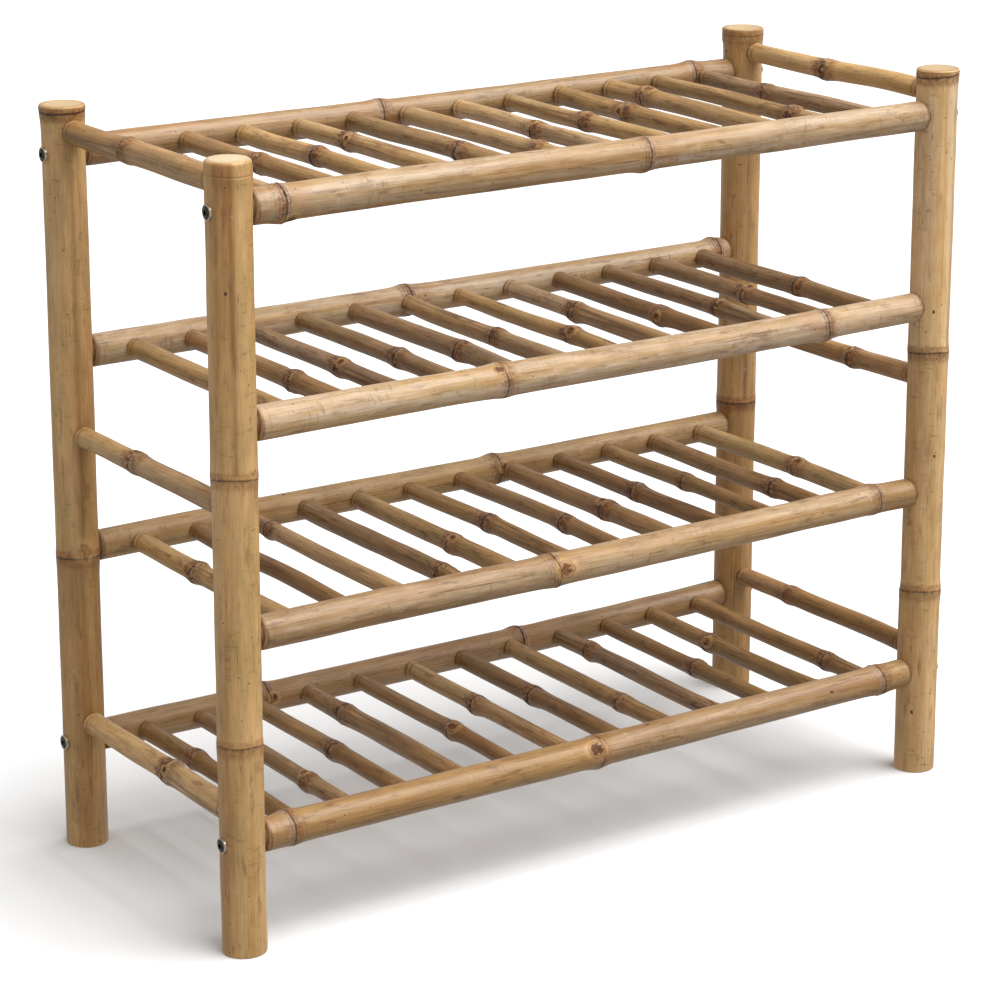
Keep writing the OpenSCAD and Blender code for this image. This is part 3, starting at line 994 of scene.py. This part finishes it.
def fitted_culm(name, culm, kind, rng, up, tone, scars, ends, holes):
    """A culm along Y whose ends are carved to fit against two culms. ends is how far each end's middle
    strays from the culm's line, and holes gives each of the two culms' place in Y, radius and whether it
    stands upright."""
    (low_line, low_radius, upright), (high_line, high_radius, _) = holes
    low, high = low_line + low_radius, high_line - high_radius
    joints = culm.joints
    marks = branch_scars(culm, up, [(0, degrees, size) for degrees, size in scars])
    shape = KINDS[kind]
    bend = Bend(rng, low, high, joints, shape["bow"], shape["kink"], ends)
    tones = [natural_tone(rng, tone) for _ in range(len(joints) + 1)]
    body = Body(culm, low, high, kind, rng, joints, up, tones, marks, bend)
    sideways = np.cos(body.angles) if upright else np.sin(body.angles)
    tenon = culm.tip_radius
    reaches = []
    for line, radius, inward in ((low_line, low_radius, 1), (high_line, high_radius, -1)):
        place = low if inward > 0 else high
        own = body.radius_ring(place)
        depth = np.sqrt(radius**2 - (own * sideways) ** 2)
        reaches.append(line + inward * (depth - TOUCH))
    loft = Loft(body)
    start, end = body.tone_ring(low), body.tone_ring(high)
    loft.ring(culm.low, tenon - 0.5 * MM, start)
    loft.ring(culm.low + 0.5 * MM, tenon, start, cut=1)
    loft.ring(reaches[0] - 1.0 * MM, tenon - 0.2 * MM, start, cut=1)
    loft.grown(reaches[0], reaches[1], ease=0.7 * MM)
    loft.ring(reaches[1] + 1.0 * MM, tenon - 0.2 * MM, end, cut=1)
    loft.ring(culm.high - 0.5 * MM, tenon, end, cut=1)
    loft.ring(culm.high, tenon - 0.5 * MM, end, cut=1)
    return loft.mesh(name, [MATERIALS[kind], BROWN_CUT])


# Light, brown, green and wax of a rung, which way it grew along Y, and its scars (degrees, size in mm)
RUNGS = {
    "rung_left_top": ((0.34, 0.36, 0.14, 0.1), 1, []),
    "rung_left_middle": ((0.5, 0.3, 0.06, 0.15), -1, []),
    "rung_left_bottom": ((0.95, 0.12, 0.1, 0.12), -1, [(150, 3.6)]),
    "rung_right_top": ((0.85, 0.2, 0.06, 0.12), -1, []),
    "rung_right_middle": ((0.46, 0.36, 0.08, 0.1), 1, [(120, 3.0)]),
    # rung_right_bottom's dark tone partly paints the shade that falls on it
    "rung_right_bottom": ((0.2, 0.65, 0.06, 0.04), 1, []),
}


def build_rung(name, seed, posts):
    tone, up, scars = RUNGS[name]
    side = name.split("_")[1]
    culm = culms_of(name, 1)[0]
    holes = []
    for face in ("front", "back"):
        post = posts[f"post_{face}_{side}"]
        radius = post.culm.radius_at(culm.centre[2]) * KINDS["post"]["scale"]
        holes.append((post.culm.centre[1], radius, True))
    rng = np.random.default_rng(seed)
    return fitted_culm(
        name.replace("rung", "rung_culm"), culm, "rung", rng, up, tone, scars, ((0, 0), (0, 0)), holes
    )


# Scars of the marked slats: shelf, number from the left, degrees (0 is right, 90 up) and size in mm
SLAT_SCARS = {
    "top": {1: (130, 3.0), 4: (150, 3.0), 7: (110, 4.6), 8: (105, 6.2), 9: (165, 3.6), 10: (100, 4.8)},
    "upper": {3: (120, 3.8), 7: (130, 4.4), 9: (170, 3.4), 11: (95, 4.0)},
    "lower": {2: (140, 3.6), 5: (120, 3.8), 8: (100, 4.6), 12: (125, 4.6)},
    "bottom": {2: (110, 3.6), 5: (125, 4.8), 9: (80, 4.2), 11: (150, 3.8)},
}
# The share of a shelf's slats that are darker than the rest, and by how much
DARK_SHARES = {"top": 0.05, "upper": 0.35, "lower": 0.3, "bottom": 0.4}
DARKER = np.array([-0.25, 0.35, 0.0, -0.05])
# Mean tone of each shelf's slats. The bottom shelf's dark tone partly paints the shade that the shelves
# above cast.
SLAT_TONES = {
    "top": (0.64, 0.22, 0.16, 0.2),
    "upper": (0.34, 0.42, 0.12, 0.1),
    "lower": (0.58, 0.26, 0.2, 0.06),
    "bottom": (0.22, 0.52, 0.14, 0.05),
}


def build_slat(shelf, number, culm, rails, seed):
    rng = np.random.default_rng(seed)
    holes, ends = [], []
    for face in ("front", "back"):
        rail = rails[f"rail_{shelf}_{face}"]
        aside, rise = rail.bend.at([culm.centre[0]])[0]
        radius = rail.culm.radius_at(culm.centre[0])
        holes.append((rail.culm.centre[1] + aside, radius, False))
        ends.append((0, rise))
    tone = natural_tone(rng, SLAT_TONES[shelf], 2.0)
    if rng.random() < DARK_SHARES[shelf]:
        tone = np.clip(tone + DARKER, 0, 1)
    up = 1 if rng.random() < 0.2 else -1
    scars = [SLAT_SCARS[shelf][number]] if number in SLAT_SCARS[shelf] else []
    return fitted_culm(
        f"slat_{shelf}_{number}", culm, "slat", rng, up, tone, scars, ends, holes
    )


# ---- bolts

HEAD_RADIUS = 7 * MM
HEAD_HEIGHT = 3.6 * MM
RIM_HEIGHT = 1.9 * MM
SHANK_RADIUS = 2.95 * MM
BOLT_LENGTH = 45 * MM
SOCKET_FLATS = 4 * MM
SOCKET_DEPTH = 2.4 * MM
SIDES = 48              # of a bolt
# From FACE_FROM on, a bolt head's dome and socket take the near-black steel of painted reflection and shade
FACE_FROM = 8           # the ring where a bolt head's dark inner face begins


def hexagon(angles, flats):
    """Radius of a hexagon at each angle, from its width across the flats."""
    turn = (angles + np.pi / 6) % (np.pi / 3) - np.pi / 6
    return flats / 2 / np.cos(turn)


def build_bolt(name, seat, side, turn):
    """A button-head bolt pointing out of the rack along X. seat is the middle of the head's underside."""
    angles = np.arange(SIDES) * 2 * np.pi / SIDES
    socket = hexagon(angles + turn, SOCKET_FLATS)
    rings = [
        (-BOLT_LENGTH, SHANK_RADIUS - 0.8 * MM),
        (-BOLT_LENGTH + 0.8 * MM, SHANK_RADIUS),
        (0, SHANK_RADIUS),
        (0, HEAD_RADIUS - 0.3 * MM),
        (0.3 * MM, HEAD_RADIUS),
        (RIM_HEIGHT - 0.15 * MM, HEAD_RADIUS),
    ]
    for share in np.linspace(0.0, 0.62, 9):
        dome = HEAD_HEIGHT - (HEAD_HEIGHT - RIM_HEIGHT) * (1 - share) ** 2
        rings.append((dome, HEAD_RADIUS * (1 - share)))
    top = rings[-1][0]
    base = HEAD_HEIGHT - SOCKET_DEPTH
    rings += [(top, socket + 0.12 * MM), (top - 0.15 * MM, socket), (base, socket)]
    rings.append((base - 0.5 * MM, 0.3 * socket))
    points = []
    for height, radius in rings:
        for r, a in zip(np.broadcast_to(radius, SIDES), angles):
            points.append(seat + Vector((side * height, r * math.cos(a) * side, r * math.sin(a))))
    points += [seat + Vector((side * rings[end][0], 0, 0)) for end in (0, -1)]
    mesh = bpy.data.meshes.new(name)
    faces = tube_faces(len(rings), SIDES)
    mesh.from_pydata(points, [], faces)
    mesh.polygons.foreach_set("use_smooth", np.ones(len(faces), bool))
    mesh.set_sharp_from_angle(angle=math.radians(35))
    mesh.materials.append(BOLT_STEEL_AND_HIGHLIGHT)
    mesh.materials.append(BOLT_FACE_DARK_REFLECTION)
    # the dome from FACE_FROM on and the socket get the painted dark reflection and shade; the rest gets the
    # steel with the rim's painted highlight
    inner = np.repeat(np.arange(len(rings) - 1) >= FACE_FROM, SIDES)
    ends = np.repeat([False, True], SIDES)
    mesh.polygons.foreach_set("material_index", np.concatenate([inner, ends]).astype(np.int32))
    return add_object(name, mesh)


# ---- the rack

def place_piece(piece, slot, *nodes):
    """Fixes a piece to the rack, in the CAD nodes' stead."""
    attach(piece, "root")
    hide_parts(*nodes)


posts = {}
for seed, name in enumerate(POSTS, 11):
    posts[name], piece = build_post(name, seed)
    place_piece(piece, "post_bamboo", name)

rails = {}
for seed, name in enumerate(RAILS, 31):
    rails[name], piece = build_rail(name, seed, posts)
    place_piece(piece, "rail_bamboo", name)

for seed, name in enumerate(RUNGS, 51):
    place_piece(build_rung(name, seed, posts), "rung_bamboo", name)

for row, shelf in enumerate(SLAT_TONES):
    for pair in range(6):
        node = f"{shelf}_slats_{2 * pair + 1}_{2 * pair + 2}"
        for k, culm in enumerate(culms_of(node, 1, 2)):
            number = 2 * pair + 1 + k
            piece = build_slat(shelf, number, culm, rails, 100 * (row + 1) + number)
            place_piece(piece, "slat_bamboo", node)

low_bolts, high_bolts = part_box("bolts")
for shelf in ("top", "bottom"):
    for face in ("front", "back"):
        rail = rails[f"rail_{shelf}_{face}"].culm
        for side, edge, word in ((-1, low_bolts.x, "left"), (1, high_bolts.x, "right")):
            seat = Vector((edge - side * HEAD_HEIGHT, rail.centre[1], rail.centre[2]))
            turn = 0.4 * rail.centre[1] / MM + 0.9 * side
            bolt = build_bolt(f"bolt_{shelf}_{face}_{word}", seat, side, turn)
            place_piece(bolt, "bolt_metal", "bolts")

for node, material in (("rail_end_plugs", plug_wood("plug_hardwood")), ("threaded_inserts", INSERT_METAL)):
    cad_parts[node].data.materials.clear()
    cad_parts[node].data.materials.append(material)

# ---- floor, light and camera

FLOOR_REACH = 14.0
FLOOR_LINES = 15
steps = np.linspace(-FLOOR_REACH, FLOOR_REACH, FLOOR_LINES)
floor_points = [(x, y, cad_box[0].z) for y in steps for x in steps]
corners = [row * FLOOR_LINES + column for row in range(FLOOR_LINES - 1) for column in range(FLOOR_LINES - 1)]
floor_mesh = bpy.data.meshes.new("studio_floor")
floor_mesh.from_pydata(
    floor_points, [], [(c, c + 1, c + FLOOR_LINES + 1, c + FLOOR_LINES) for c in corners]
)
floor_mesh.materials.append(studio_floor("studio_floor"))
floor = add_object("studio_floor", floor_mesh)
floor.visible_glossy = False
floor.visible_diffuse = False

world = bpy.data.worlds.new("studio")
scene.world = world
world.use_nodes = True
sky = world.node_tree.nodes["Background"].inputs
sky["Color"].default_value = (1.0, 1.0, 1.0, 1)
sky["Strength"].default_value = 0.5


def aimed(name, data, axis, direction):
    """An object that points one of its axes in a direction."""
    made = add_object(name, data)
    made.rotation_mode = "QUATERNION"
    made.rotation_quaternion = Vector(direction).to_track_quat(axis, "Y")
    return made


# One big soft light, from far enough away to light the whole floor evenly
lamp = bpy.data.lights.new("key_softbox", "SUN")
lamp.energy = 4.4
lamp.angle = math.radians(55)
aimed("key_softbox", lamp, "Z", (0.42, -0.42, 1.25))

CAMERA_PLACE = (-1.6933, -2.4649, 1.2234)
YAW, PITCH = math.radians(34.26), math.radians(15.18)   # turned from Y towards X, and down
AHEAD = (math.sin(YAW) * math.cos(PITCH), math.cos(YAW) * math.cos(PITCH), -math.sin(PITCH))
camera = bpy.data.cameras.new("camera")
camera.sensor_width = 36
camera.lens = 119.5
camera.shift_y = -0.11
camera.clip_end = 100
scene.camera = aimed("camera", camera, "-Z", AHEAD)
scene.camera.location = CAMERA_PLACE
scene.view_settings.view_transform = "Standard"
